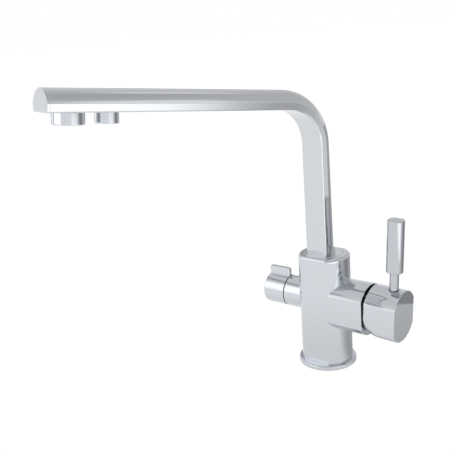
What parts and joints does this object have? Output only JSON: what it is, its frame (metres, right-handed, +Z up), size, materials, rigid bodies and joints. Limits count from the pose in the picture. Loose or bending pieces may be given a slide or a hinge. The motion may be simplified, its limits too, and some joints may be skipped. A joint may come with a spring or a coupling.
{
  "type": "three way filtered water tap",
  "caption": "Swivelling L spout over a flat sided post, a lever mixer for hot and cold on one side and a quarter turn filtered water valve on the other.",
  "frame": {"origin": "centre of the base's seating face, on the spout's swivel axis", "axes": "+Z up the swivel axis; +X towards the mixer's lever; -X towards the filtered water knob; -Y towards the user, where the spout points when it is swivelled to the middle"},
  "size_m": [0.1573, 0.271, 0.2868],
  "materials": {
    "chromed_brass": "polished chrome plate",
    "chromed_tube": "polished chrome plate on formed tube",
    "bare_brass": "turned",
    "screw_steel": "turned",
    "seal_rubber": "moulded",
    "disc_ceramic": "lapped ceramic",
    "black_plastic": "moulded",
    "cartridge_plastic": "moulded",
    "pale_plastic": "moulded",
    "grey_plug": "moulded"
  },
  "bodies": {
    "tap": {"tap_body": "chromed_brass", "base_flange": "chromed_brass", "base_gasket": "seal_rubber", "spout_grub_screw": "screw_steel", "filtered_tube_ring": "seal_rubber", "cartridge_seals": "seal_rubber", "cartridge_base": "cartridge_plastic", "cartridge_fixed_disc": "disc_ceramic", "cartridge_housing": "cartridge_plastic", "cartridge_nut": "bare_brass", "mouth_ring": "black_plastic", "filter_bonnet": "bare_brass", "filter_bonnet_ring": "seal_rubber", "filter_washer": "seal_rubber", "filter_fixed_disc": "disc_ceramic", "filter_slide_ring": "black_plastic"},
    "spout": {"spout_tube": "chromed_tube", "spout_end_cap": "chromed_tube", "spout_hub": "chromed_brass", "hub_seal_rings": "seal_rubber", "hub_slide_ring": "cartridge_plastic", "filtered_tube": "pale_plastic", "mixed_outlet_bush": "bare_brass", "mixed_outlet_housing": "chromed_brass", "mixed_outlet_insert": "pale_plastic", "mixed_outlet_gasket": "seal_rubber", "filtered_outlet_bush": "bare_brass", "filtered_outlet_housing": "chromed_brass", "filtered_outlet_insert": "pale_plastic", "filtered_outlet_gasket": "seal_rubber"},
    "mixer_rotor": {"cartridge_rotor": "cartridge_plastic", "pivot_pin": "screw_steel"},
    "mixer_discs": {"disc_carrier": "cartridge_plastic", "cartridge_moving_disc": "disc_ceramic"},
    "mixer_lever": {"mixer_knob": "chromed_brass", "knob_insert": "black_plastic", "lever_spindle": "bare_brass", "knob_grub_screw": "screw_steel", "knob_plug": "grey_plug", "lever_stem": "chromed_brass", "lever_grip": "chromed_brass"},
    "filter_handle": {"filter_knob": "chromed_brass", "filter_knob_screw": "screw_steel", "filter_spindle": "bare_brass", "filter_moving_disc": "disc_ceramic"}
  },
  "joints": [
    {"name": "spout_swivel", "type": "hinge", "parent": "tap", "child": "spout", "pos_m": [0, 0, 0.095], "axis": [0, 0, 1], "continuous": true},
    {"name": "mixer_temperature", "type": "hinge", "parent": "tap", "child": "mixer_rotor", "pos_m": [0.03, 0, 0.0611], "axis": [1, 0, 0], "range_deg": [-45, 45]},
    {"name": "mixer_flow", "type": "hinge", "parent": "mixer_rotor", "child": "mixer_lever", "pos_m": [0.06224, 0, 0.0611], "axis": [0, 1, 0], "range_deg": [-2.2, 22.8]},
    {"name": "mixer_disc_slide", "type": "slide", "parent": "mixer_rotor", "child": "mixer_discs", "axis": [0, 0, 1], "range_m": [-0.00046, 0.00475]},
    {"name": "filter_turn", "type": "hinge", "parent": "tap", "child": "filter_handle", "pos_m": [-0.045, 0, 0.0635], "axis": [1, 0, 0], "range_deg": [0, 90]}
  ],
  "couplings": [
    {"joint": "mixer_disc_slide", "follows": "mixer_flow", "m_per_rad": 0.011905}
  ]
}
